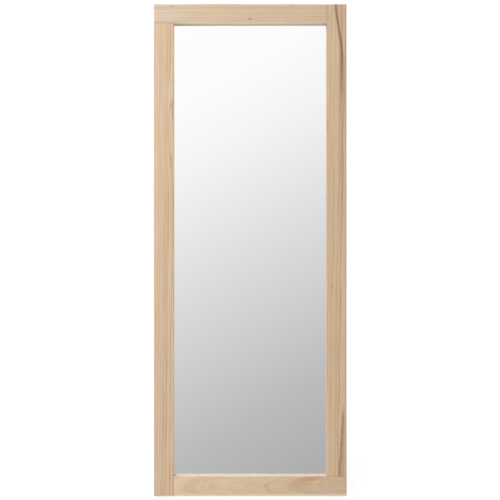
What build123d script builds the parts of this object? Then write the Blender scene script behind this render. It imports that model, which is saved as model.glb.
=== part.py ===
from build123d import *
import os
from math import atan2, ceil, cos, degrees, radians, sin, tan

# A free-standing full-length mirror: four plain boards, butted round the corners like a
# pinwheel, hold the glass. It leans back on a folding stand that is hinged to the two stiles.
# Millimetres, +Z up. The mirror faces -Y. The origin is on the floor, midway between the
# frontmost and the rearmost point of the open mirror.

# ---- the mirror frame -----------------------------------------------------------------
width = 700.0
height = 1785.0
board = 32.0                # thickness of the four boards
stile_width = 72.0
top_rail_width = 68.0
bottom_rail_width = 72.0
front_bevel = 5.0           # 45 degree bevel along the outer front edges
arris = 0.6                 # every other edge, just broken with sandpaper

glass_setback = 20.0        # from the front of the boards to the glass
glass = 4.0
glass_arris = 0.5
glass_lip = 10.0            # how far the glass pocket runs past the opening
glass_play = 1.0            # gap between the glass and its pocket, all round
backing = 3.0
backing_rebate = 3.2
backing_lip = 10.0          # how far the backing's rebate runs past the glass pocket
backing_play = 0.5
backing_screw_pitch = 240.0
foam_width = 40.0
foam_length = 1500.0
foam_pitch = 180.0

dowel_radius = 4.0
dowel_length = 40.0
dowel_chamfer = 0.8
glue_gap = 0.05             # between a dowel or a screw and its hole
hole_spare = 1.0            # how much deeper a hole is than its dowel or screw
dowel_depth = 19.0          # from the back of the boards, clear of both rebates
dowel_edge = 18.0           # from a rail's edges to the dowels that cross its end
stile_dowels = (16.0, 50.0)     # from the frame's outer edge to the dowels along a stile

# ---- how it stands --------------------------------------------------------------------
lean_angle = 9.0            # the mirror leans back
leg_angle = 7.0             # the open stand splays out behind
fold_angle = lean_angle + leg_angle
frame_foot_thin = 2.2       # rubber wedge under the frame, at its thin rear edge
frame_foot_back = 1.0       # from the back of the boards to the wedge
frame_foot_depth = 11.0
frame_foot_length = 60.0
frame_foot_inset = 35.0     # from the frame's outer edge to a wedge's middle
leg_pad = 4.0
leg_pad_margin = 1.0        # from each side of the leg to its pad, and half of it elsewhere
leg_pad_corner = 2.0
leg_pad_round = 0.8

# ---- the folding stand ----------------------------------------------------------------
hinge_height = 1200.0       # up the back of the mirror
axis_standoff = 4.4         # from the wood to the hinge pin's centre
folded_gap = 5.0            # between the mirror's back and the folded stand
leg_width = 30.0
leg_depth = 24.0
leg_outer = 342.0           # from the middle to the outer face of a leg
stand_top_rail = 60.0
stand_low_rail = 45.0
low_rail_down = 860.0       # from the hinge pin to the middle of the lower rail
low_rail_depth = 18.0
leg_dowels = (-7.0, 7.0)    # across the top of a leg, from its middle
low_rail_dowels = (-12.0, 12.0)     # up the end of the lower rail, from its middle

# ---- hinges ---------------------------------------------------------------------------
hinge_length = 40.0
hinge_middle = 320.0
knuckle_radius = 4.0
knuckles = 5
knuckle_gap = 0.3
pin_radius = 2.0
pin_play = 0.05
pin_head = 1.5
pin_head_radius = 3.2
pin_head_round = 1.0
leaf = 2.0
leaf_corner = 2.0
leaf_reach = 24.0           # from the pin to the far edge of the leaf on the mirror
stand_leaf_reach = 21.0
leaf_cutback = 4.8          # a leaf stays this far from the pin behind the other's knuckles
hinge_screws = (-13.0, 0.0, 13.0)         # along the pin, from the hinge's middle
mirror_leaf_screws = (11.0, 18.0, 11.0)   # from the pin to each of them, on the mirror
stand_leaf_screws = (9.0, 15.5, 9.0)      # and on the stand

# ---- stays ----------------------------------------------------------------------------
stay_width = 16.0
stay = 3.0
stay_inner = 303.5          # from the middle to the stay's inner face
stay_down = 563.0           # from the hinge pin down the mirror to the stay's pivot
stay_standoff = 12.0        # from the mirror's back to the stay's pivot
stud_down = 600.0           # from the hinge pin down the leg to the stud that the stay hooks
stud_radius = 3.0
stud_play = 0.4             # between the stud and the hook
mouth_bend = 1.0            # degrees: the stud's path out of the hook curves this way
stay_pivot_radius = 3.0
stay_play = 0.2             # between the bracket, the spring washer and the stay
hook_slot = 24.0
washer_margin = 1.5         # the spring washer's rim stays this far inside the stay's eye
bracket_inner = 300.0
bracket = 2.0
bracket_base = 16.0
bracket_half = 22.0
bracket_screw_half = 14.0
bracket_screw_out = 7.5     # from the bracket's upright plate to its screws
rivet_head = (5.5, 2.0)     # each of these is a radius and a length
stud_thread = (2.5, 18.0)
stud_collar = (6.0, 1.5)
stud_head = (6.0, 2.0)
stud_spare = 1.0            # how far the stud runs past the stay's inner face
rivet_round = 1.2

# ---- wood screws: radius of the shank, radius of the head, length ---------------------
small_screw = (1.25, 2.8, 11.0)
large_screw = (1.75, 3.4, 16.0)
screw_tip = 0.2
cross_reach = 1.3           # the cross recess's span, as a part of the head's radius
cross_width = 0.7
cross_depth = 0.9

top_align = (Align.CENTER, Align.CENTER, Align.MAX)
base_align = (Align.CENTER, Align.CENTER, Align.MIN)
sides = {"left": -1, "right": 1}

half_width = width / 2
opening_half = half_width - stile_width
opening_low = bottom_rail_width
opening_high = height - top_rail_width
pocket_half = opening_half + glass_lip
pocket_low = opening_low - glass_lip
pocket_high = opening_high + glass_lip
rebate_half = pocket_half + backing_lip
rebate_low = pocket_low - backing_lip
rebate_high = pocket_high + backing_lip
glass_front = board - glass_setback

lean = radians(lean_angle)
splay = radians(leg_angle)

# The mirror's rear bottom edge stands this high, on the thin edge of its rubber feet.
rear_edge_z = frame_foot_thin * cos(lean) - frame_foot_back * sin(lean)

# How far the hinge pin lies behind and above that edge, and the stand's foot behind that.
pin_back = hinge_height * sin(lean) + axis_standoff * cos(lean)
pin_z = rear_edge_z + hinge_height * cos(lean) - axis_standoff * sin(lean)
leg_front = axis_standoff - folded_gap
leg_rear = leg_front - leg_depth
leg_top = -axis_standoff - stand_top_rail
rear_corner_down = (pin_z - leg_pad - leg_rear * sin(splay)) / cos(splay)
foot_back = pin_back + rear_corner_down * sin(splay) - leg_rear * cos(splay)

# The frontmost point is the upper arris of the bevel at the foot of the mirror.
reach_front = board * cos(lean) - front_bevel * sin(lean)
rear_edge_y = (reach_front - foot_back) / 2

# "back" lies on the rear face of the boards: x across, y up the mirror, z towards the viewer.
back = Plane(
    origin=(0, rear_edge_y, rear_edge_z),
    x_dir=(1, 0, 0),
    z_dir=(0, -cos(lean), sin(lean)),
)
# "stand" goes through the hinge pin: x across, y up the legs, z towards the mirror.
stand = Plane(
    origin=(0, rear_edge_y + pin_back, pin_z),
    x_dir=(1, 0, 0),
    z_dir=(0, -cos(splay), -sin(splay)),
)

# The stay lies between its pivot on the mirror and the stud on the leg.
pivot_point = back.from_local_coords(Vector(0, hinge_height - stay_down, -stay_standoff))
stud_point = stand.from_local_coords(Vector(0, -stud_down, leg_front - leg_depth / 2))
stay_run = stud_point - pivot_point
stay_length = stay_run.length
stay_drop = degrees(atan2(-stay_run.Z, stay_run.Y)) - lean_angle
stay_swing = 90 + stay_drop      # from hooked on the stud to flat up the mirror's back
stay_ratio = stay_swing / fold_angle

# As the stand starts to fold, the stud leaves the hook this way, seen along the stay.
lift_speed = stay_length * stay_ratio
stud_from_pin = stud_point - stand.origin
stud_travel = Vector(0, stud_from_pin.Z, -stud_from_pin.Y)
stay_up = Vector(0, -stay_run.Z, stay_run.Y) / stay_length
exit_along = stud_travel.dot(stay_run) / stay_length
exit_up = stud_travel.dot(stay_up) - lift_speed
mouth_angle = degrees(atan2(exit_up, exit_along)) - mouth_bend


def save(piece, name):
    """Label the piece and write it to its own file."""
    piece.part.label = name
    export_step(piece.part, f"parts/{name}.step")


def behind(x, up, out=0.0):
    """A spot behind the mirror: x across, up the back, out from the wood, facing out."""
    origin = back.from_local_coords(Vector(x, up, -out))
    return Plane(origin=origin, x_dir=(1, 0, 0), z_dir=-back.z_dir).location


def end_grain(x, up, depth, direction):
    """A spot inside the mirror's boards, facing along the given direction."""
    origin = back.from_local_coords(Vector(x, up, depth))
    return Plane(origin=origin, z_dir=direction).location


def in_stand(x, up, depth, direction):
    """A spot in the stand, facing along the given direction."""
    origin = stand.from_local_coords(Vector(x, up, depth))
    return Plane(origin=origin, z_dir=direction).location


def across(plane, x, up, depth):
    """A plane square to X: its x axis runs out of the wood and its y axis runs up."""
    origin = plane.from_local_coords(Vector(x, up, depth))
    return Plane(origin=origin, x_dir=-plane.z_dir, z_dir=(1, 0, 0))


def drill(spots, radius, depth):
    """Drill blind holes, straight down from each spot."""
    with Locations(*spots):
        Cylinder(radius + glue_gap, depth, align=top_align, mode=Mode.SUBTRACT)


def countersink(spots, size):
    """Drill for countersunk screws whose heads lie flush with each spot."""
    shank, head, length = size
    with Locations(*spots):
        Cone(
            shank + glue_gap,
            head + glue_gap,
            head - shank,
            align=top_align,
            mode=Mode.SUBTRACT,
        )
        Cylinder(shank + glue_gap, length + hole_spare, align=top_align, mode=Mode.SUBTRACT)


def screws(name, spots, size):
    """A group of cross-head countersunk screws, one at each spot."""
    shank, head, length = size
    with BuildPart() as group:
        with Locations(*spots):
            Cylinder(shank, length - shank, align=top_align)
            Cone(shank, head, head - shank, align=top_align)
        with Locations(*[spot * Pos(0, 0, shank - length) for spot in spots]):
            Cone(screw_tip, shank, shank, align=top_align)
        with Locations(*spots):
            for turn in (0, 90):
                Box(
                    cross_reach * head,
                    cross_width,
                    cross_depth,
                    rotation=(0, 0, turn),
                    align=top_align,
                    mode=Mode.SUBTRACT,
                )
    save(group, name)


def dowels(name, spots):
    """A group of fluteless beech dowels, each centred on its spot."""
    with BuildPart() as group:
        with Locations(*spots):
            Cylinder(dowel_radius, dowel_length)
        ends = group.edges().filter_by(GeomType.CIRCLE)
        chamfer(ends, dowel_chamfer)
    save(group, name)


def dowel_holes(spots):
    """Holes for dowels centred on the spots, a little longer than the dowels."""
    with Locations(*spots):
        Cylinder(dowel_radius + glue_gap, dowel_length + hole_spare, mode=Mode.SUBTRACT)


# ---- where the fastenings go ----------------------------------------------------------
up_mirror = back.y_dir
stile_dowel_x = [half_width - inset for inset in stile_dowels]
corner_dowels = {
    "top_left": [end_grain(-x, opening_high, dowel_depth, up_mirror) for x in stile_dowel_x],
    "bottom_right": [end_grain(x, opening_low, dowel_depth, up_mirror) for x in stile_dowel_x],
    "top_right": [
        end_grain(opening_half, up, dowel_depth, (1, 0, 0))
        for up in (opening_high + dowel_edge, height - dowel_edge)
    ],
    "bottom_left": [
        end_grain(-opening_half, up, dowel_depth, (1, 0, 0))
        for up in (dowel_edge, opening_low - dowel_edge)
    ],
}


def ring_of_screws():
    """Spots for the backing's screws, evenly spaced along all four sides."""
    x = (pocket_half + rebate_half) / 2
    low = (pocket_low + rebate_low) / 2
    high = (pocket_high + rebate_high) / 2
    out = backing - backing_rebate
    rows = ceil((high - low) / backing_screw_pitch)
    columns = ceil(2 * x / backing_screw_pitch)
    spots = []
    for row in range(rows + 1):
        up = low + (high - low) * row / rows
        spots += [behind(-x, up, out), behind(x, up, out)]
    for column in range(1, columns):
        place = -x + 2 * x * column / columns
        spots += [behind(place, low, out), behind(place, high, out)]
    return spots


backing_spots = ring_of_screws()
hinge_spots = {}
stand_hinge_spots = {}
bracket_spots = {}
for side, sign in sides.items():
    hinge_x = [sign * (hinge_middle + step) for step in hinge_screws]
    hinge_spots[side] = [
        behind(x, hinge_height + up, leaf) for x, up in zip(hinge_x, mirror_leaf_screws)
    ]
    stand_hinge_spots[side] = [
        in_stand(x, leaf - axis_standoff, -depth, stand.y_dir)
        for x, depth in zip(hinge_x, stand_leaf_screws)
    ]
    base_x = sign * (bracket_inner + bracket + bracket_screw_out)
    bracket_spots[side] = [
        behind(base_x, hinge_height - stay_down + step, bracket)
        for step in (-bracket_screw_half, bracket_screw_half)
    ]

mirror_side_spots = {
    side: hinge_spots[side] + bracket_spots[side] for side in sides
}

os.makedirs("parts", exist_ok=True)


# ---- the four boards ------------------------------------------------------------------
up_axis = Axis(back.origin, back.y_dir)
across_axis = Axis(back.origin, back.x_dir)
front_axis = Axis(back.origin, back.z_dir)

# The frame's outside, bevelled after the boards were glued up.
with BuildPart() as outside:
    with BuildSketch(back):
        with Locations((0, height / 2)):
            Rectangle(width, height)
    extrude(amount=board)
    chamfer(outside.faces().sort_by(front_axis)[-1].edges(), front_bevel)
    chamfer(outside.faces().sort_by(front_axis)[0].edges(), arris)


def frame_board(name, left, right, low, high, joint_edges, dowel_spots):
    """One board of the frame. Its glued edges are broken on the front, and it has its share
    of the glass pocket, of the backing's rebate and of the screw holes."""
    with BuildPart() as plank:
        with BuildSketch(back):
            with Locations(((left + right) / 2, (low + high) / 2)):
                Rectangle(right - left, high - low)
        extrude(amount=board)
        add(outside.part, mode=Mode.INTERSECT)
        front_edges = plank.faces().sort_by(front_axis)[-1].edges()
        chamfer([front_edges.sort_by(axis)[place] for axis, place in joint_edges], arris)
        with BuildSketch(back):
            with Locations((0, (pocket_low + pocket_high) / 2)):
                Rectangle(2 * pocket_half, pocket_high - pocket_low)
        extrude(amount=glass_front, mode=Mode.SUBTRACT)
        with BuildSketch(back):
            with Locations((0, (rebate_low + rebate_high) / 2)):
                Rectangle(2 * rebate_half, rebate_high - rebate_low)
        extrude(amount=backing_rebate, mode=Mode.SUBTRACT)
        dowel_holes(dowel_spots)
        drill(backing_spots, small_screw[0], small_screw[2] + hole_spare)
        for spots in mirror_side_spots.values():
            drill(spots, large_screw[0], large_screw[2] + hole_spare)
    save(plank, name)


frame_board(
    "frame_top_rail",
    -half_width,
    opening_half,
    opening_high,
    height,
    [(up_axis, 0), (across_axis, -1)],
    corner_dowels["top_left"] + corner_dowels["top_right"],
)
frame_board(
    "frame_right_stile",
    opening_half,
    half_width,
    opening_low,
    height,
    [(across_axis, 0), (up_axis, 0)],
    corner_dowels["top_right"] + corner_dowels["bottom_right"],
)
frame_board(
    "frame_bottom_rail",
    -opening_half,
    half_width,
    0,
    opening_low,
    [(up_axis, -1), (across_axis, 0)],
    corner_dowels["bottom_right"] + corner_dowels["bottom_left"],
)
frame_board(
    "frame_left_stile",
    -half_width,
    -opening_half,
    0,
    opening_high,
    [(across_axis, -1), (up_axis, -1)],
    corner_dowels["bottom_left"] + corner_dowels["top_left"],
)

for corner, spots in corner_dowels.items():
    dowels(f"frame_dowels_{corner}", spots)

# ---- the glass and what holds it ------------------------------------------------------
pocket_middle = (pocket_low + pocket_high) / 2
pocket_height = pocket_high - pocket_low
with BuildPart() as mirror_glass:
    with BuildSketch(back.offset(glass_front - glass)):
        with Locations((0, pocket_middle)):
            Rectangle(2 * (pocket_half - glass_play), pocket_height - 2 * glass_play)
    extrude(amount=glass)
    chamfer(mirror_glass.edges(), glass_arris)
save(mirror_glass, "mirror_glass")

with BuildPart() as foam_strips:
    with BuildSketch(back.offset(backing_rebate)):
        with Locations(*[(step * foam_pitch, pocket_middle) for step in (-1, 0, 1)]):
            Rectangle(foam_width, foam_length)
    extrude(amount=glass_front - glass - backing_rebate)
save(foam_strips, "foam_strips")

with BuildPart() as backing_panel:
    with BuildSketch(back.offset(backing_rebate - backing)):
        with Locations((0, (rebate_low + rebate_high) / 2)):
            Rectangle(
                2 * (rebate_half - backing_play),
                rebate_high - rebate_low - 2 * backing_play,
            )
    extrude(amount=backing)
    countersink(backing_spots, small_screw)
save(backing_panel, "backing_panel")
screws("backing_screws", backing_spots, small_screw)

# ---- rubber wedges under the mirror, flat on the floor --------------------------------
for side, sign in sides.items():
    middle = sign * (half_width - frame_foot_inset)
    thick = frame_foot_thin + frame_foot_depth * tan(lean)
    near = -frame_foot_back
    far = near - frame_foot_depth
    with BuildPart() as frame_foot:
        with BuildSketch(across(back, middle, 0, 0)):
            with BuildLine():
                Polyline(
                    (near, 0),
                    (far, 0),
                    (far, -thick),
                    (near, -frame_foot_thin),
                    close=True,
                )
            make_face()
        extrude(amount=frame_foot_length / 2, both=True)
    save(frame_foot, f"frame_foot_{side}")

# ---- the stand's wooden parts ---------------------------------------------------------
leg_inner = leg_outer - leg_width
leg_middle = leg_outer - leg_width / 2
stand_middle = leg_front - leg_depth / 2
stand_dowel_spots = {}
stud_spots = {}
for side, sign in sides.items():
    stand_dowel_spots[side] = [
        in_stand(sign * (leg_middle + step), leg_top, stand_middle, stand.y_dir)
        for step in leg_dowels
    ] + [
        in_stand(sign * leg_inner, step - low_rail_down, stand_middle, (1, 0, 0))
        for step in low_rail_dowels
    ]
    stud_spots[side] = in_stand(
        sign * leg_inner, -stud_down, stand_middle, (-sign, 0, 0)
    )

for side, sign in sides.items():
    leg_length = rear_corner_down + leg_top + leg_depth
    with BuildPart() as leg:
        with BuildSketch(stand.offset(leg_front)):
            with Locations((sign * leg_middle, leg_top - leg_length / 2)):
                Rectangle(leg_width, leg_length)
        extrude(amount=-leg_depth)
        chamfer(leg.edges(), arris)
        split(bisect_by=Plane.XY.offset(leg_pad), keep=Keep.TOP)
        dowel_holes(stand_dowel_spots[side])
        drill([stud_spots[side]], stud_thread[0], stud_thread[1] + hole_spare)
    save(leg, f"stand_leg_{side}")

    foot_middle = rear_edge_y + foot_back - leg_depth / cos(splay) / 2
    with BuildPart() as pad:
        with BuildSketch():
            with Locations((sign * leg_middle, foot_middle)):
                RectangleRounded(
                    leg_width - 2 * leg_pad_margin,
                    leg_depth - leg_pad_margin,
                    leg_pad_corner,
                )
        extrude(amount=leg_pad)
        fillet(pad.faces().sort_by(Axis.Z)[0].edges(), leg_pad_round)
    save(pad, f"stand_pad_{side}")
    dowels(f"stand_dowels_{side}", stand_dowel_spots[side])

all_stand_dowels = stand_dowel_spots["left"] + stand_dowel_spots["right"]
with BuildPart() as top_rail:
    with BuildSketch(stand.offset(leg_front)):
        with Locations((0, leg_top + stand_top_rail / 2)):
            Rectangle(2 * leg_outer, stand_top_rail)
    extrude(amount=-leg_depth)
    chamfer(top_rail.edges(), arris)
    dowel_holes(all_stand_dowels)
    for spots in stand_hinge_spots.values():
        drill(spots, large_screw[0], large_screw[2] + hole_spare)
save(top_rail, "stand_top_rail")

with BuildPart() as low_rail:
    with BuildSketch(stand.offset(stand_middle + low_rail_depth / 2)):
        with Locations((0, -low_rail_down)):
            Rectangle(2 * leg_inner, stand_low_rail)
    extrude(amount=-low_rail_depth)
    chamfer(low_rail.edges(), arris)
    dowel_holes(all_stand_dowels)
save(low_rail, "stand_low_rail")

# ---- hinges ---------------------------------------------------------------------------
knuckle_pitch = hinge_length / knuckles
knuckle_length = knuckle_pitch - knuckle_gap


def pin_plane(x):
    """A plane square to the hinge pin."""
    return Plane(origin=(x, stand.origin.Y, stand.origin.Z), z_dir=(1, 0, 0))


def knuckle_middles(middle, first):
    """Every other knuckle's middle along the pin."""
    start = middle - hinge_length / 2 + knuckle_pitch / 2
    return [start + knuckle_pitch * place for place in range(first, knuckles, 2)]


def hinge_leaf(name, plate, thickness, middle, reach, first, spots):
    """A leaf lying on its plane, with its knuckles rolled round the pin. The plane's
    origin is beside the pin and its y axis runs away from the pin."""
    own = knuckle_middles(middle, first)
    with BuildPart() as piece:
        with BuildSketch(plate):
            with Locations((middle, (reach + leaf_cutback) / 2)):
                RectangleRounded(hinge_length, reach - leaf_cutback, leaf_corner)
            with Locations(*[(x, leaf_cutback) for x in own]):
                Rectangle(knuckle_length, 2 * leaf_cutback)
        extrude(amount=thickness)
        countersink(spots, large_screw)
        with BuildSketch(*[pin_plane(x) for x in own]):
            Circle(knuckle_radius)
        extrude(amount=knuckle_length / 2, both=True)
        with BuildSketch(pin_plane(middle)):
            Circle(pin_radius + pin_play)
        extrude(amount=hinge_length, both=True, mode=Mode.SUBTRACT)
    save(piece, name)


mirror_leaf_plane = Plane(
    origin=back.from_local_coords(Vector(0, hinge_height, 0)),
    x_dir=(1, 0, 0),
    z_dir=back.z_dir,
)
stand_leaf_plane = Plane(
    origin=stand.from_local_coords(Vector(0, -axis_standoff, 0)),
    x_dir=(1, 0, 0),
    z_dir=stand.y_dir,
)
for side, sign in sides.items():
    middle = sign * hinge_middle
    hinge_leaf(
        f"hinge_mirror_leaf_{side}",
        mirror_leaf_plane,
        -leaf,
        middle,
        leaf_reach,
        0,
        hinge_spots[side],
    )
    hinge_leaf(
        f"hinge_stand_leaf_{side}",
        stand_leaf_plane,
        leaf,
        middle,
        stand_leaf_reach,
        1,
        stand_hinge_spots[side],
    )
    with BuildPart() as pin:
        with BuildSketch(pin_plane(middle)):
            Circle(pin_radius)
        extrude(amount=hinge_length / 2, both=True)
        heads = [pin_plane(middle - hinge_length / 2), pin_plane(middle + hinge_length / 2)]
        for end, direction in zip(heads, (-1, 1)):
            with BuildSketch(end):
                Circle(pin_head_radius)
            extrude(amount=direction * pin_head)
        rims = pin.edges().filter_by(GeomType.CIRCLE).sort_by(Axis.X)
        fillet([rims[0], rims[-1]], pin_head_round)
    save(pin, f"hinge_pin_{side}")
    screws(f"hinge_mirror_screws_{side}", hinge_spots[side], large_screw)
    screws(f"hinge_stand_screws_{side}", stand_hinge_spots[side], large_screw)

# ---- stays ----------------------------------------------------------------------------
stay_eye = stay_width / 2
washer = stay_inner - bracket_inner - bracket - stay_play


def facing(point, x, sign, x_dir=(0, 1, 0)):
    """A plane square to X, level with the point and x from the middle. A sign of 1 faces
    it to the right, and -1 to the left."""
    return Plane(origin=(x, point.Y, point.Z), x_dir=x_dir, z_dir=(sign, 0, 0))


def turned(plane, steps):
    """Stack discs along the plane's normal: each step is a radius and a length."""
    reached = 0.0
    for radius, length in steps:
        with Locations(plane.offset(reached).location):
            Cylinder(radius, length, align=base_align)
        reached += length


pivot_up = hinge_height - stay_down
for side, sign in sides.items():
    inner = sign * bracket_inner
    with BuildPart() as angle_bracket:
        with BuildSketch(back):
            with Locations((sign * (bracket_inner + bracket_base / 2), pivot_up)):
                Rectangle(bracket_base, 2 * bracket_half)
        extrude(amount=-bracket)
        with BuildSketch(facing(pivot_point, inner, sign, -back.z_dir)):
            Circle(stay_eye)
            with Locations((bracket / 2 - stay_standoff, 0)):
                Rectangle(bracket, 2 * bracket_half)
            make_hull()
        extrude(amount=bracket)
        countersink(bracket_spots[side], large_screw)
        with BuildSketch(facing(pivot_point, inner, sign)):
            Circle(stay_pivot_radius + glue_gap)
        extrude(amount=bracket, mode=Mode.SUBTRACT)
    save(angle_bracket, f"stay_bracket_{side}")
    screws(f"stay_bracket_screws_{side}", bracket_spots[side], large_screw)

    with BuildPart() as stay_bar:
        flat = facing(pivot_point, sign * stay_inner, sign, stay_run)
        with BuildSketch(flat):
            with Locations((stay_length / 2, 0)):
                SlotCenterToCenter(stay_length, stay_width)
            Circle(stay_pivot_radius + pin_play, mode=Mode.SUBTRACT)
            with Locations(Location((stay_length, 0), sign * mouth_angle)):
                with Locations((hook_slot / 2, 0)):
                    SlotCenterToCenter(
                        hook_slot,
                        2 * (stud_radius + stud_play),
                        mode=Mode.SUBTRACT,
                    )
        extrude(amount=stay)
    save(stay_bar, f"stay_{side}")

    rivet_shank = washer + bracket + stay + 2 * stay_play
    with BuildPart() as rivet:
        turned(
            facing(pivot_point, inner - sign * rivet_head[1], sign),
            [rivet_head, (stay_pivot_radius, rivet_shank), rivet_head],
        )
        rims = rivet.edges().filter_by(GeomType.CIRCLE).sort_by(Axis.X)
        fillet([rims[0], rims[-1]], rivet_round)
    save(rivet, f"stay_rivet_{side}")

    with BuildPart() as spring_washer:
        with BuildSketch(facing(pivot_point, inner + sign * bracket, sign)):
            Circle(stay_eye - washer_margin)
            Circle(stay_pivot_radius + pin_play, mode=Mode.SUBTRACT)
        extrude(amount=washer)
    save(spring_washer, f"stay_washer_{side}")

    stud_reach = leg_inner - stay_inner + stud_spare - stud_collar[1]
    with BuildPart() as stud:
        turned(
            facing(stud_point, sign * (leg_inner + stud_thread[1]), -sign),
            [
                stud_thread,
                stud_collar,
                (stud_radius, stud_reach),
                stud_head,
            ],
        )
    save(stud, f"stay_stud_{side}")
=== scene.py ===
import math

import bpy
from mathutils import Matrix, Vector

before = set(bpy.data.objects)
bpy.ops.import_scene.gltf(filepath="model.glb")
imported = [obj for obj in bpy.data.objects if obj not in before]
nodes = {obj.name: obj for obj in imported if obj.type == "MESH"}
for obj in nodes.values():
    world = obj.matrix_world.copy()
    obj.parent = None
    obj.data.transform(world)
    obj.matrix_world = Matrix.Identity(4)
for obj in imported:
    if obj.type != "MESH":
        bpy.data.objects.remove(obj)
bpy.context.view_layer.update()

# A full-length mirror in a pale wooden frame, which leans back on a folding stand. Every CAD
# node keeps its shape. This script gives each its material, and makes the camera, the floor
# and the light.

# ---- the mirror's own directions and sizes --------------------------------------------
LEAN = math.radians(9.0)  # the mirror leans back
SPLAY = math.radians(-7.0)  # the open stand's legs lean the other way
RIGHTWARD = Vector((1, 0, 0))
UP = Vector((0, math.sin(LEAN), math.cos(LEAN)))
BACKWARD = Vector((0, math.cos(LEAN), -math.sin(LEAN)))
MM = 1000.0  # millimetres in a metre
BOARDS = ["frame_top_rail", "frame_bottom_rail", "frame_left_stile", "frame_right_stile"]


def reach(names, direction):
    """The least and the most that the named nodes reach along a direction."""
    points = [vertex.co for name in names for vertex in nodes[name].data.vertices]
    places = [point.dot(direction) for point in points]
    return min(places), max(places)


foot_up, head_up = reach(BOARDS, UP)
front = reach(BOARDS, BACKWARD)[0]
frame_height = head_up - foot_up

# The same frame in millimetres, for the materials.
height = frame_height * MM
half_width = reach(BOARDS, RIGHTWARD)[1] * MM
half_opening = reach(["frame_right_stile"], RIGHTWARD)[0] * MM
top_rail = (head_up - reach(["frame_top_rail"], UP)[0]) * MM
bottom_rail = (reach(["frame_bottom_rail"], UP)[1] - foot_up) * MM
leg_middle = sum(reach(["stand_leg_right"], RIGHTWARD)) / 2 * MM

# ---- camera: square to the glass, level with its middle -------------------------------
DISTANCE = 3.2  # from the camera to the front of the frame
FILLS = 0.985  # share of the picture's height that the frame takes
SENSOR = 36.0  # millimetres
ASIDE = (-0.0004, 0.0001)  # a hair to the left of the middle, and above it
FAR_CLIP = 100.0


def make_camera():
    """A camera on the line through the middle of the mirror, square to it."""
    data = bpy.data.cameras.new("camera")
    data.sensor_width = SENSOR
    data.lens = SENSOR * DISTANCE / (frame_height / FILLS)
    data.clip_end = FAR_CLIP
    camera = bpy.data.objects.new("camera", data)
    bpy.context.collection.objects.link(camera)
    middle = UP * ((foot_up + head_up) / 2 + ASIDE[1]) + BACKWARD * front
    camera.location = middle - BACKWARD * DISTANCE + RIGHTWARD * ASIDE[0]
    camera.rotation_euler = (math.pi / 2 - LEAN, 0, 0)
    bpy.context.scene.camera = camera


# ---- a short way to write node trees --------------------------------------------------
class Value:
    """A number inside a node tree, which can be added, multiplied and so on."""

    def __init__(self, tree, socket):
        self.tree = tree
        self.socket = socket

    def __add__(self, other):
        return self.tree.math("ADD", self, other)

    def __radd__(self, other):
        return self.tree.math("ADD", other, self)

    def __sub__(self, other):
        return self.tree.math("SUBTRACT", self, other)

    def __rsub__(self, other):
        return self.tree.math("SUBTRACT", other, self)

    def __mul__(self, other):
        return self.tree.math("MULTIPLY", self, other)

    def __rmul__(self, other):
        return self.tree.math("MULTIPLY", other, self)

    def __truediv__(self, other):
        return self.tree.math("DIVIDE", self, other)

    def __abs__(self):
        return self.tree.math("ABSOLUTE", self)

    def at_most(self, limit):
        return self.tree.math("MINIMUM", self, limit)


class Tree:
    """A node tree, built in a few words a node."""

    def __init__(self, owner):
        owner.use_nodes = True
        self.owner = owner
        self.nodes = owner.node_tree.nodes
        self.links = owner.node_tree.links

    def put(self, socket, value):
        """Link the value to the socket, or store it there."""
        if isinstance(value, Value):
            value = value.socket
        if isinstance(value, bpy.types.NodeSocket):
            self.links.new(value, socket)
        else:
            socket.default_value = value

    def add(self, kind, inputs=None, **settings):
        """A new node, with its settings and what goes into it."""
        node = self.nodes.new("ShaderNode" + kind)
        for key, value in settings.items():
            setattr(node, key, value)
        for key, value in (inputs or {}).items():
            self.put(node.inputs[key], value)
        return node

    def math(self, operation, first, second=0.0):
        node = self.add("Math", {0: first, 1: second}, operation=operation)
        return Value(self, node.outputs[0])

    def between(self, value, low, high, to_low=0.0, to_high=1.0):
        """A smooth step from to_low to to_high as the value goes from low to high."""
        inputs = {"Value": value, "From Min": low, "From Max": high}
        inputs.update({"To Min": to_low, "To Max": to_high})
        node = self.add("MapRange", inputs, interpolation_type="SMOOTHSTEP")
        return Value(self, node.outputs["Result"])

    def vector(self, x, y, z):
        return self.add("CombineXYZ", {0: x, 1: y, 2: z}).outputs[0]

    def split(self, vector):
        node = self.add("SeparateXYZ", {0: vector})
        return [Value(self, output) for output in node.outputs]

    def place(self, kind="Object"):
        """Where a point of the surface is, in metres, or which way it faces."""
        return self.add("TexCoord").outputs[kind]

    def noise(self, vector, scale=1.0, detail=2.0, roughness=0.5, distortion=0.0):
        """Smooth noise from about -0.5 to 0.5."""
        inputs = {"Vector": vector, "Scale": scale, "Detail": detail}
        inputs.update({"Roughness": roughness, "Distortion": distortion})
        node = self.add("TexNoise", inputs)
        return Value(self, node.outputs["Fac"]) - 0.5

    def mix(self, factor, first, second):
        """The first colour, as far as the factor towards the second."""
        node = self.add("Mix", data_type="RGBA")
        factor_socket, first_socket, second_socket = node.inputs[0], node.inputs[6], node.inputs[7]
        self.put(factor_socket, factor)
        self.put(first_socket, first)
        self.put(second_socket, second)
        return node.outputs[2]

    def shade(self, color, factor):
        """The colour, brighter or darker by a factor."""
        node = self.add("VectorMath", operation="SCALE")
        self.put(node.inputs[0], color[:3] if isinstance(color, tuple) else color)
        self.put(node.inputs["Scale"], factor)
        return node.outputs[0]

    def bump(self, relief, distance, strength):
        """A normal for a surface with this relief, at most the distance deep, in metres."""
        inputs = {"Height": relief, "Distance": distance, "Strength": strength}
        return self.add("Bump", inputs).outputs[0]


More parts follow.
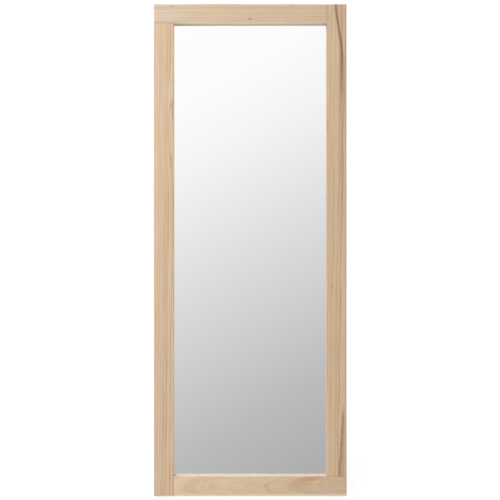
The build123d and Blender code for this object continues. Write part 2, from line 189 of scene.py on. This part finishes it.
def linear(red, green, blue):
    """An 8-bit sRGB colour as a linear RGBA."""
    parts = []
    for level in (red, green, blue):
        level /= 255
        parts.append(level / 12.92 if level <= 0.04045 else ((level + 0.055) / 1.055) ** 2.4)
    return (*parts, 1.0)


def grey(level):
    """A grey as a linear RGBA."""
    return (level, level, level, 1.0)


def material(name):
    """A new material's tree, with its Principled shader."""
    tree = Tree(bpy.data.materials.new(name))
    tree.shader = tree.nodes["Principled BSDF"]
    return tree


def finish_material(tree, color, roughness, normal=None, metallic=0.0, specular=0.5):
    """Connect what varies, and store what doesn't on the shader's own sockets."""
    tree.put(tree.shader.inputs["Base Color"], color)
    tree.put(tree.shader.inputs["Roughness"], roughness)
    tree.put(tree.shader.inputs["Metallic"], metallic)
    tree.put(tree.shader.inputs["Specular IOR Level"], specular)
    if normal is not None:
        tree.put(tree.shader.inputs["Normal"], normal)
    return tree.owner


# ---- wood -----------------------------------------------------------------------------
EARLY = linear(222, 197, 167)
LATE = linear(188, 146, 101)
WARM = linear(214, 181, 143)
GREY = linear(207, 186, 164)
PALE = linear(215, 197, 173)
HEART = linear(127, 95, 79)
KNOT = linear(142, 98, 62)
SEAM = linear(150, 98, 60)
# painted sheen: the colour that every board's narrow sides are tinted towards
SIDE_SHEEN = linear(203, 187, 166)
# painted light: the colour of the edges next to the glass that lie in shade, as if the glass threw
# light back onto them
PAINTED_LIGHT_EDGE = linear(228, 209, 182)
END_GRAIN = linear(186, 152, 117)
TONE = 0.82  # brightness of all the boards
SEAM_STRENGTH = 0.4  # how dark the fine lines are where two boards meet
SEED_STEP = 5000.0  # how far apart two boards lie in the noise, in millimetres
SQUARELY = (0.8, 0.95)  # a face counts as an edge or an end as its normal gets this close
RING_UNEVENNESS = 4.0  # how far the rings' widths wander, counted in rings
LATE_BEGINS = 0.45  # where in a ring the late wood begins, and where it is darkest
LATE_DARKEST = 0.9

# How deep each material's surface is, in metres.
RELIEF = {
    "wood": 0.00018,
    "steel": 0.00004,
    "rubber": 0.0001,
    "hardboard": 0.00012,
    "foam": 0.0003,
    "beech": 0.0001,
}

# Noise that runs with the grain: how fine it is across and along the grain, per millimetre,
# then its detail and its roughness.
GRAIN_NOISE = {
    "sideways": (0.012, 0.0022, 3.0, 0.5),  # the rings wander
    "inwards": (0.0204, 0.00374, 2.0, 0.5),
    "patches": (0.03, 0.006, 2.0, 0.5),  # where the rings show less
    "streaks": (0.09, 0.0025, 3.0, 0.55),
    "threads": (0.42, 0.007, 4.0, 0.6),
    "fibres": (1.6, 0.03, 5.0, 0.65),
    "clouds": (0.02, 0.004, 2.0, 0.5),
    "pores": (3.2, 0.12, 1.0, 0.5),
    "dull": (0.26, 0.0052, 2.0, 0.5),
    "mottle": (0.3, 0.1, 4.0, 0.7),
}
# What each layer adds to the wood's brightness.
BRIGHTENS = {"streaks": 0.34, "threads": 0.50, "fibres": 0.16, "clouds": 0.08}


class Board:
    """What sets one board's grain apart. Lengths are in millimetres: across is measured
    from the board's middle line, and along from the foot of the mirror, or from the
    mirror's middle on a rail.

    tilt: how far the board leans. runs: "up" or "across". middle: its middle line.
    pith: the middle of the tree, (across, in from the front). spacing: from ring to ring.
    drift: how the pith goes deeper along the board. wave: how far the rings wander.
    eyes: (place, size, rings) where the rings bulge. knots: (place, size, strength).
    seams: (kind, place, low, high) of each joint. pale: (edge, width) of a pale strip.
    bleached: (start, end) of a fade from pale wood to the board's own colour.
    inward: which way across the board the glass lies. That edge lies in shade, and is painted pale
    with painted light.
    """

    def __init__(self, tilt, runs, middle, pith, spacing, **more):
        self.tilt = tilt
        self.runs = runs
        self.middle = middle
        self.pith = pith
        self.spacing = spacing
        self.drift = more.get("drift", 0.0)
        self.wave = more.get("wave", 9.0)
        self.tone = more.get("tone", 1.0)
        self.seed = more.get("seed", 0.0)
        self.eyes = more.get("eyes", ())
        self.knots = more.get("knots", ())
        self.heart = more.get("heart")
        self.seams = more.get("seams", ())
        self.pale = more.get("pale")
        self.lines = more.get("lines", 1.0)
        self.warm = more.get("warm", 0.0)
        # painted light: how much lighter or darker the board is painted along its length, as the
        # lamps' light falls off across the frame
        self.light_falloff = more.get("light_falloff", 0.0)
        self.bleached = more.get("bleached")
        self.inward = more.get("inward")


class Grain:
    """A point's place in its board, and the noise that runs with the grain there."""

    def __init__(self, tree, board):
        mapping = {
            "Vector": tree.place(),
            "Location": (0, -front * MM, -foot_up * MM),
            "Rotation": (board.tilt, 0, 0),
            "Scale": (MM, MM, MM),
        }
        x, self.depth, z = tree.split(tree.add("Mapping", mapping).outputs[0])
        upright = board.runs == "up"
        self.across = (x if upright else z) - board.middle
        self.along = z if upright else x
        self.seeded = self.along + board.seed * SEED_STEP
        self.tree = tree

    def noise(self, layer):
        fine, lengthwise, detail, roughness = GRAIN_NOISE[layer]
        squeezed = self.tree.vector(
            self.across * fine, self.depth * fine, self.seeded * lengthwise
        )
        return self.tree.noise(squeezed, 1.0, detail, roughness)

    def blob(self, at, size):
        """A soft round hump, 1 at its middle: at and size are (across, along)."""
        first = (self.across - at[0]) / size[0]
        second = (self.along - at[1]) / size[1]
        return self.tree.math("EXPONENT", (first * first + second * second) * -1.0)


def late_wood(tree, board, grain):
    """How strongly the late wood of a ring shows. Each ring gets darker outwards, and then
    stops short; some rings are darker than others."""
    aside = grain.across - board.pith[0] + grain.noise("sideways") * board.wave
    behind = grain.depth - board.pith[1] + grain.noise("inwards") * board.wave
    behind = behind + grain.along * board.drift
    radius = tree.math("SQRT", aside * aside + behind * behind)
    for at, size, rings in board.eyes:
        radius = radius + grain.blob(at, size) * (rings * board.spacing)
    uneven = tree.noise(radius * 0.06 + board.seed, 1.0, 2.0) * RING_UNEVENNESS
    count = radius / board.spacing + uneven
    ring = tree.math("FRACT", count)
    late = tree.between(ring, LATE_BEGINS, LATE_DARKEST)
    late = late * tree.between(ring, LATE_DARKEST, 1.0, 1.0, 0.0)
    year = tree.noise(tree.math("FLOOR", count) * 0.73 + board.seed, 1.0, 0.0)
    late = late * tree.between(year, -0.22, 0.22, 0.2, 1.0)
    return late * tree.between(grain.noise("patches"), -0.2, 0.2, 0.45, 1.0) * board.lines


def heart_streak(tree, grain):
    """Dark heartwood in the right stile: a streak that comes in at the top and bends out
    towards the edge, and a mottled wedge beside the same edge near the foot."""
    across = grain.across
    along = grain.along
    fine, lengthwise, detail, roughness = GRAIN_NOISE["mottle"]
    mottled = tree.vector(across * fine, grain.depth * fine, along * lengthwise)
    mottle = tree.noise(mottled, 1.0, detail, roughness)

    # The streak bends out to the right and widens on its way down. It is darkest along its
    # right edge, and beyond that edge the wood is only tinted.
    down = height - along
    right = tree.between(down, -10.0, 190.0, -0.5, 24.0) + mottle * 3.0
    width = tree.between(down, 60.0, 220.0, 8.5, 17.0) + mottle * 6.0
    inside = tree.between(across - right + width, -3.0, 4.0)
    inside = inside * tree.between(right - across, -1.5, 1.0)
    core = tree.between(right - across, 4.0, 16.0, 1.0, 0.35)
    fade = tree.between(down, 190.0, 380.0, 1.0, 0.35) * tree.between(down, 500.0, 950.0, 1.0, 0.0)
    beyond = tree.between(across - right, -1.0, 1.0) * tree.between(across, 20.0, 26.0, 0.25, 0.0)
    streak = inside * core * fade + beyond * tree.between(down, 60.0, 130.0, 1.0, 0.0)

    # The wedge narrows upwards to a point on the right edge. Its left rim is darkest.
    rim_at = along * 0.06 + mottle * 4.0 + 0.5
    wedge = tree.between(across - rim_at, -1.5, 2.5) * tree.between(across, 25.0, 30.0, 1.0, 0.15)
    rim = tree.between(across - rim_at, 5.0, 13.0, 1.0, 0.5)
    patches = tree.between(mottle, -0.1, 0.1, 0.35, 1.1)
    wedge = wedge * rim * patches * tree.between(along, 270.0, 350.0, 1.0, 0.0)
    return (streak + wedge).at_most(1.0)


def mark_board(tree, board, grain, color):
    """Lay marks over a board's colour: a pale strip along one edge with a darker line at its inner
    side, knots, heartwood and seams.
    """
    across = grain.across
    along = grain.along
    if board.pale:
        edge, width = board.pale
        inside = across - edge
        band = tree.between(inside, width - 1.0, width, 0.75, 0.0)
        color = tree.mix(band, color, PALE)
        line = tree.between(abs(inside - width), 0.4, 1.6, 0.35, 0.0)
        color = tree.mix(line, color, LATE)
    for at, size, strength in board.knots:
        spot = grain.blob(at, size) * (strength * 0.75)
        color = tree.mix(spot.at_most(1.0), color, KNOT)
    if board.heart:
        color = tree.mix(board.heart(tree, grain) * 0.92, color, HEART)
    for kind, at, low, high in board.seams:
        away, run = (along, across) if kind == "end" else (across, along)
        line = tree.between(abs(away - at), 0.5, 2.0, SEAM_STRENGTH, 0.0)
        line = line * tree.between(run, low - 1.0, low)
        line = line * tree.between(run, high, high + 1.0, 1.0, 0.0)
        color = tree.mix(line, color, SEAM)
    return color


def mark_faces(tree, board, color, brightness):
    """The board's narrow sides are painted greyer and paler than its face, a painted sheen; the
    side towards the glass, where one is given, gets painted light; and its ends show darker.
    """
    facing = tree.split(tree.place("Normal"))
    endwise = facing[1] * math.sin(board.tilt) + facing[2] * math.cos(board.tilt)
    cut, side = (endwise, facing[0]) if board.runs == "up" else (facing[0], endwise)
    # Painted sheen: the narrow sides are tinted greyer and paler.
    color = tree.mix(tree.between(abs(side), *SQUARELY, 0.0, 0.6), color, SIDE_SHEEN)
    # Painted light: the edge towards the glass lies in shade, and is painted pale in place of the
    # light the glass throws back onto it.
    if board.inward:
        painted_light = tree.between(side * board.inward, *SQUARELY, 0.0, 0.9)
        color = tree.mix(painted_light, color, tree.shade(PAINTED_LIGHT_EDGE, brightness))
    end_grain = tree.shade(END_GRAIN, brightness * (board.tone * TONE))
    return tree.mix(tree.between(abs(cut), *SQUARELY) * 0.55, color, end_grain)


def wood(name, board):
    """Pale, dry softwood. Rings round a pith outside the board show as lines, cathedrals
    or end grain wherever the board cuts them."""
    tree = material(name)
    grain = Grain(tree, board)
    late = late_wood(tree, board, grain)
    layers = {layer: grain.noise(layer) for layer in BRIGHTENS}
    pores = tree.between(grain.noise("pores"), 0.17, 0.27)

    warmth = layers["clouds"] + layers["streaks"]
    warmth = tree.between(warmth, -0.25, 0.3, board.warm, board.warm + 0.65)
    color = tree.mix(warmth, EARLY, WARM)
    color = tree.mix(tree.between(grain.noise("dull"), 0.0, 0.3, 0.0, 0.6), color, GREY)
    if board.bleached:
        start, end = board.bleached
        color = tree.mix(tree.between(grain.along, start, end, 0.8, 0.0), color, PALE)
    color = tree.mix((late * 0.85).at_most(1.0), color, LATE)

    # The term along the board is painted light falloff.
    brightness = pores * -0.12 + grain.along * board.light_falloff + 1.0
    for layer, share in BRIGHTENS.items():
        brightness = brightness + layers[layer] * share
    color = tree.shade(color, brightness * (board.tone * TONE))
    color = mark_board(tree, board, grain, color)
    color = mark_faces(tree, board, color, brightness)

    fibres = layers["fibres"]
    roughness = late * -0.06 + fibres * 0.12 + 0.56
    relief = fibres * 0.6 + late * 0.5 - pores * 0.8
    normal = tree.bump(relief, RELIEF["wood"], 0.7)
    return finish_material(tree, color, roughness, normal)


def frame_boards():
    """The four boards of the frame."""
    stile_middle = (half_width + half_opening) / 2
    stile_half = (half_width - half_opening) / 2
    opening_top = height - top_rail
    return {
        "frame_left_stile": Board(
            LEAN,
            "up",
            -stile_middle,
            pith=(-110.0, 120.0),
            spacing=7.0,
            seed=1.0,
            drift=0.012,
            wave=14.0,
            lines=1.2,
            eyes=[((22.0, 1340.0), (9.0, 125.0), 2.2)],
            knots=[
                ((12.4, 616.0), (1.2, 3.2), 1.0),
                ((27.0, 614.0), (1.4, 2.6), 1.0),
                ((-23.8, 538.0), (0.9, 6.0), 0.8),
            ],
            inward=1,
            seams=[
                ("end", opening_top, -stile_half, stile_half),
                ("edge", stile_half, 0.0, bottom_rail),
            ],
        ),
        "frame_right_stile": Board(
            LEAN,
            "up",
            stile_middle,
            pith=(90.0, 110.0),
            spacing=6.5,
            seed=2.0,
            drift=-0.01,
            wave=12.0,
            tone=0.975,
            light_falloff=-0.00003,
            warm=0.35,
            lines=1.1,
            knots=[
                ((-32.6, 1337.0), (1.6, 22.0), 0.9),
                ((-18.0, 759.0), (1.5, 6.0), 1.0),
                ((5.5, 437.0), (1.0, 8.0), 0.8),
                ((-21.7, 538.0), (0.9, 6.0), 0.8),
                ((-34.0, 455.0), (1.0, 7.0), 0.8),
                ((32.0, 632.0), (1.2, 9.0), 0.8),
            ],
            heart=heart_streak,
            seams=[
                ("end", bottom_rail, -stile_half, stile_half),
                ("edge", -stile_half, opening_top, height),
            ],
        ),
        "frame_top_rail": Board(
            LEAN,
            "across",
            height - top_rail / 2,
            pith=(-130.0, 90.0),
            spacing=5.5,
            seed=3.0,
            drift=0.008,
            wave=10.0,
            lines=1.1,
            tone=0.955,
            light_falloff=-0.0002,
            bleached=(-300.0, -60.0),
            eyes=[((-19.0, 4.0), (6.0, 16.0), 1.0)],
            knots=[
                ((-20.5, 0.0), (2.0, 8.0), 1.6),
                ((26.5, -279.8), (2.0, 6.0), 0.6),
                ((30.0, -203.8), (1.5, 4.0), 0.8),
                ((26.5, 147.4), (2.0, 5.0), 0.6),
            ],
            inward=-1,
            seams=[
                ("end", half_opening, -top_rail / 2, top_rail / 2),
                ("edge", -top_rail / 2, -half_width, -half_opening),
            ],
        ),
        "frame_bottom_rail": Board(
            LEAN,
            "across",
            bottom_rail / 2,
            pith=(2.0, 96.0),
            spacing=6.5,
            seed=4.0,
            drift=0.085,
            wave=8.0,
            lines=0.6,
            tone=1.03,
            warm=0.05,
            light_falloff=-0.0004,
            eyes=[((2.0, -141.0), (20.0, 30.0), -1.3)],
            knots=[((0.0, -139.0), (8.0, 10.0), 0.3)],
            seams=[
                ("end", -half_opening, -bottom_rail / 2, bottom_rail / 2),
                ("edge", bottom_rail / 2, half_opening, half_width),
            ],
            pale=(-bottom_rail / 2, 10.0),
        ),
    }


TOP_UP = 1150.0  # about how far up the legs the stand's rails are, in millimetres
LOW_UP = 330.0


def stand_boards():
    """The four boards of the stand, plainer than the frame's."""
    left = Board(SPLAY, "up", -leg_middle, (60.0, 260.0), 4.5, seed=5.0, tone=0.97)
    right = Board(SPLAY, "up", leg_middle, (-50.0, 300.0), 5.0, seed=6.0, tone=0.95)
    top = Board(SPLAY, "across", TOP_UP, (10.0, 250.0), 5.5, seed=7.0, drift=0.03, tone=0.97)
    low = Board(SPLAY, "across", LOW_UP, (-20.0, 300.0), 5.0, seed=8.0, drift=0.02, tone=0.96)
    return {
        "stand_leg_left": left,
        "stand_leg_right": right,
        "stand_top_rail": top,
        "stand_low_rail": low,
    }


# ---- glass ----------------------------------------------------------------------------
SILVER = grey(0.97)
GLASS_EDGE = linear(120, 160, 145)
RAIL_SHADE = linear(70, 58, 46)  # what the top rail's shade turns the silvering towards
RAIL_SHADE_BEGINS = (2.0, 5.2)  # millimetres below the rail, where the shade deepens
RAIL_SHADE_ENDS = (7.2, 8.4)
RAIL_SHADE_LEFT = -0.28  # it is deepest here, in metres from the middle
RAIL_SHADE_RIGHT = -0.1  # and from here on it is weaker
RAIL_SHADE_DEPTHS = (0.66, 0.44)


def mirror_material():
    """Silvered glass: a clean mirror with a trace of dust, greenish where the edge shows,
    and shaded in a thin line under the top rail."""
    tree = material("silvered_glass")
    place = tree.place()
    haze = tree.noise(place, 3.0, 4.0, 0.6)
    roughness = tree.between(haze, -0.1, 0.4, 0.004, 0.018)
    facing = tree.split(tree.place("Normal"))
    forward = facing[1] * -math.cos(LEAN) + facing[2] * math.sin(LEAN)
    color = tree.mix(tree.between(forward, 0.6, 0.9), GLASS_EDGE, SILVER)

    mapping = {"Vector": place, "Location": (0, 0, -foot_up), "Rotation": (LEAN, 0, 0)}
    x, _, up = tree.split(tree.add("Mapping", mapping).outputs[0])
    below_rail = (frame_height - up) * MM - top_rail
    shade = tree.between(below_rail, *RAIL_SHADE_BEGINS, 0.5, 1.0)
    shade = shade * tree.between(below_rail, *RAIL_SHADE_ENDS, 1.0, 0.0)
    shade = shade * tree.between(x, RAIL_SHADE_LEFT, RAIL_SHADE_RIGHT, *RAIL_SHADE_DEPTHS)
    color = tree.mix(shade, color, RAIL_SHADE)
    return finish_material(tree, color, roughness, metallic=1.0)


# ---- steel, rubber, hardboard, foam and beech -----------------------------------------
# The noise in these is set per metre: 1000 is a grain of about a millimetre.
SHEET = linear(196, 196, 192)
SHEET_ROLLING = (90.0, 90.0, 900.0)
TURNED = linear(188, 188, 186)
TURNED_ROLLING = (1500.0, 120.0, 120.0)
SCREW = linear(190, 182, 158)
SCREW_ROLLING = (300.0, 300.0, 300.0)
RUBBER = linear(28, 28, 29)
RUBBER_DUST = linear(74, 71, 68)
FIBRE_DARK = linear(122, 88, 60)
FIBRE_LIGHT = linear(150, 112, 80)
FIBRE_SPECK = linear(84, 56, 38)
FOAM = linear(232, 231, 226)
BEECH = linear(205, 166, 130)


def steel_material(name, tint, rolling):
    """Zinc-plated steel: fine rolling marks, cloudy plating and dulled patches."""
    tree = material(name)
    place = tree.place()
    x, y, z = tree.split(place)
    lines = tree.vector(x * rolling[0], y * rolling[1], z * rolling[2])
    marks = tree.noise(lines, 1.0, 3.0, 0.7)
    clouds = tree.noise(place, 60.0, 4.0, 0.6)
    spangle = tree.noise(place, 900.0, 2.0, 0.6)
    color = tree.mix(tree.between(clouds, -0.25, 0.25), tint, tree.shade(tint, 0.8))
    color = tree.shade(color, marks * 0.25 + spangle * 0.15 + 1.0)
    roughness = marks * 0.25 + clouds * 0.2 + 0.36
    normal = tree.bump(marks + spangle * 0.5, RELIEF["steel"], 0.6)
    return finish_material(tree, color, roughness, normal, metallic=1.0)


def rubber_material():
    """Matt black rubber, dusty on the skin."""
    tree = material("rubber")
    place = tree.place()
    skin = tree.noise(place, 1400.0, 3.0, 0.6)
    dust = tree.noise(place, 90.0, 4.0, 0.6)
    color = tree.mix(tree.between(dust, -0.1, 0.3, 0.0, 0.35), RUBBER, RUBBER_DUST)
    normal = tree.bump(skin, RELIEF["rubber"], 0.6)
    return finish_material(tree, color, skin * 0.15 + 0.78, normal, specular=0.3)


def hardboard_material():
    """Brown hardboard: matted fibres, darker specks and faint press marks."""
    tree = material("hardboard")
    place = tree.place()
    x, y, z = tree.split(place)
    fibres = tree.noise(tree.vector(x * 500.0, y * 500.0, z * 260.0), 1.0, 5.0, 0.7, 1.2)
    specks = tree.between(tree.noise(place, 420.0, 2.0, 0.6), 0.16, 0.26)
    clouds = tree.noise(place, 5.0, 4.0, 0.6)
    color = tree.mix(tree.between(fibres, -0.25, 0.25), FIBRE_DARK, FIBRE_LIGHT)
    color = tree.mix(specks * 0.6, color, FIBRE_SPECK)
    color = tree.shade(color, clouds * 0.22 + 1.0)
    normal = tree.bump(fibres, RELIEF["hardboard"], 0.6)
    return finish_material(tree, color, fibres * 0.25 + 0.6, normal, specular=0.3)


def foam_material():
    """White packing foam with small closed cells."""
    tree = material("foam")
    place = tree.place()
    voronoi = tree.add("TexVoronoi", {"Vector": place, "Scale": 700.0})
    cells = Value(tree, voronoi.outputs["Distance"])
    clouds = tree.noise(place, 20.0, 3.0)
    color = tree.shade(FOAM, cells * 0.12 + clouds * 0.06 + 0.92)
    normal = tree.bump(cells, RELIEF["foam"], 0.7)
    return finish_material(tree, color, clouds * 0.1 + 0.85, normal)


def beech_material():
    """Beech dowels: pinkish brown, flecked along the grain."""
    tree = material("beech")
    place = tree.place()
    flecks = tree.noise(place, 600.0, 3.0, 0.6)
    clouds = tree.noise(place, 40.0, 3.0, 0.5)
    color = tree.shade(BEECH, flecks * 0.25 + clouds * 0.2 + 1.0)
    normal = tree.bump(flecks, RELIEF["beech"], 0.5)
    return finish_material(tree, color, flecks * 0.15 + 0.6, normal)


# ---- which node is made of what -------------------------------------------------------
def paint(name, made):
    """Give a CAD node one material."""
    slots = nodes[name].material_slots
    for slot in slots:
        slot.material = made
    if not slots:
        nodes[name].data.materials.append(made)


def paint_nodes():
    """Every CAD node gets its material: the boards by name, and the rest by the first of
    these words that is in their names."""
    boards = {**frame_boards(), **stand_boards()}
    sheet = steel_material("zinc_sheet", SHEET, SHEET_ROLLING)
    turned = steel_material("turned_zinc", TURNED, TURNED_ROLLING)
    rubber = rubber_material()
    by_word = {
        "mirror_glass": mirror_material(),
        "foam_strips": foam_material(),
        "backing_panel": hardboard_material(),
        "dowels": beech_material(),
        "foot": rubber,
        "pad": rubber,
        "screws": steel_material("screw_zinc", SCREW, SCREW_ROLLING),
        "pin": turned,
        "rivet": turned,
        "stud": turned,
        "washer": turned,
        "leaf": sheet,
        "bracket": sheet,
        "stay": sheet,
    }
    for name in nodes:
        if name in boards:
            paint(name, wood(name + "_wood", boards[name]))
        else:
            word = next(word for word in by_word if word in name)
            paint(name, by_word[word])


# ---- floor, light and what the mirror shows -------------------------------------------
FLOOR_HALF = 14.0
FLOOR_COLOR = grey(0.34)
FLOOR_GLOW = 0.73
SEEN_WHITE = 1.1  # the backdrop, as the camera sees it
LIGHT_ABOVE = 0.38  # what the walls and ceiling give
LIGHT_BELOW = 1.34  # what the white floor throws up
MIRROR_TILT = -0.556  # the shade in the glass falls off to the right as well as downwards
# What the studio shows in reflections: white above, grey below, and the pale floor at last.
# Each is how far up the reflection looks, from -1 to 1, and how bright it is there.
MIRROR_SHADES = [
    (-1.0, 0.88),
    (-0.62, 0.62),
    (-0.30, 0.42),
    (-0.19, 0.512),
    (0.0, 0.752),
    (0.13, 0.93),
    (0.20, 0.995),
    (0.30, 1.02),
]
KEY_LAMP = {"place": (-2.6, -2.4, 4.2), "size": 1.8, "power": 94}
FILL_LAMP = {"place": (2.6, 2.4, 2.4), "size": 2.0, "power": 35}
LAMPS_AIM = Vector((0, 0, 0.9))
SUN_STRENGTH = 1.8
SUN_ANGLE = math.radians(50)  # so broad that it casts only a soft shadow
SUN_DIRECTION = Vector((0.2, 0.15, -0.97))


def make_floor():
    """A plain white floor. Reflections and bounced light miss it, and the world stands in
    for it there."""
    mesh = bpy.data.meshes.new("floor")
    corners = [(-1, -1), (1, -1), (1, 1), (-1, 1)]
    points = [(x * FLOOR_HALF, y * FLOOR_HALF, 0) for x, y in corners]
    mesh.from_pydata(points, [], [(0, 1, 2, 3)])
    floor = bpy.data.objects.new("floor", mesh)
    bpy.context.collection.objects.link(floor)
    tree = material("floor")
    tree.put(tree.shader.inputs["Base Color"], FLOOR_COLOR)
    tree.put(tree.shader.inputs["Roughness"], 1.0)
    tree.put(tree.shader.inputs["Specular IOR Level"], 0.0)
    tree.put(tree.shader.inputs["Emission Color"], grey(1.0))
    tree.put(tree.shader.inputs["Emission Strength"], FLOOR_GLOW)
    floor.data.materials.append(tree.owner)
    floor.visible_glossy = False
    floor.visible_diffuse = False


def mirror_gradient(tree, towards):
    """The colour that a reflection shows, by where it looks."""
    slope = {0: towards, 1: UP + RIGHTWARD * MIRROR_TILT}
    dot = tree.add("VectorMath", slope, operation="DOT_PRODUCT")
    rise = Value(tree, dot.outputs["Value"])
    curve = tree.add("ValToRGB", {"Fac": rise * 0.5 + 0.5})
    ramp = curve.color_ramp
    while len(ramp.elements) < len(MIRROR_SHADES):
        ramp.elements.new(0.5)
    for element, (place, level) in zip(ramp.elements, MIRROR_SHADES):
        element.position = place * 0.5 + 0.5
        element.color = grey(level)
    return curve.outputs[0]


def make_world():
    """White all round for the camera, an even soft light for surfaces, and for glossy
    reflections a studio that shades from white above to grey below."""
    world = bpy.data.worlds.new("studio")
    bpy.context.scene.world = world
    tree = Tree(world)
    tree.nodes.clear()
    towards = tree.place("Generated")
    level = tree.between(tree.split(towards)[2], -0.3, 0.3, LIGHT_BELOW, LIGHT_ABOVE)
    soft = tree.add("Background", {"Color": grey(1.0), "Strength": level})
    white = tree.add("Background", {"Color": grey(1.0), "Strength": SEEN_WHITE})
    studio = tree.add("Background", {"Color": mirror_gradient(tree, towards), "Strength": 1.0})

    path = tree.add("LightPath").outputs
    seen = path["Is Camera Ray"]
    glossy = Value(tree, path["Is Glossy Ray"])
    bounced = tree.math("GREATER_THAN", Value(tree, path["Diffuse Depth"]), 0.5)
    shown = glossy - glossy * bounced
    first = tree.add("MixShader", {0: seen, 1: soft.outputs[0], 2: white.outputs[0]})
    second = tree.add("MixShader", {0: shown, 1: first.outputs[0], 2: studio.outputs[0]})
    tree.add("OutputWorld", {"Surface": second.outputs[0]})


def point_along(lamp, direction):
    """Turn a lamp so that it shines in this direction."""
    lamp.rotation_euler = direction.to_track_quat("-Z", "Y").to_euler()


def make_lamp(name, place, size, power):
    """A square soft light that faces the middle of the mirror."""
    data = bpy.data.lights.new(name, "AREA")
    data.shape = "SQUARE"
    data.size = size
    data.energy = power
    lamp = bpy.data.objects.new(name, data)
    bpy.context.collection.objects.link(lamp)
    lamp.location = place
    point_along(lamp, LAMPS_AIM - Vector(place))


def make_overhead():
    """Broad, even light from straight above, a little to the front and the left."""
    data = bpy.data.lights.new("overhead", "SUN")
    data.energy = SUN_STRENGTH
    data.angle = SUN_ANGLE
    lamp = bpy.data.objects.new("overhead", data)
    bpy.context.collection.objects.link(lamp)
    point_along(lamp, SUN_DIRECTION)


make_camera()
paint_nodes()
make_floor()
make_world()
make_lamp("key", **KEY_LAMP)
make_overhead()
make_lamp("fill", **FILL_LAMP)
bpy.context.scene.view_settings.view_transform = "Standard"
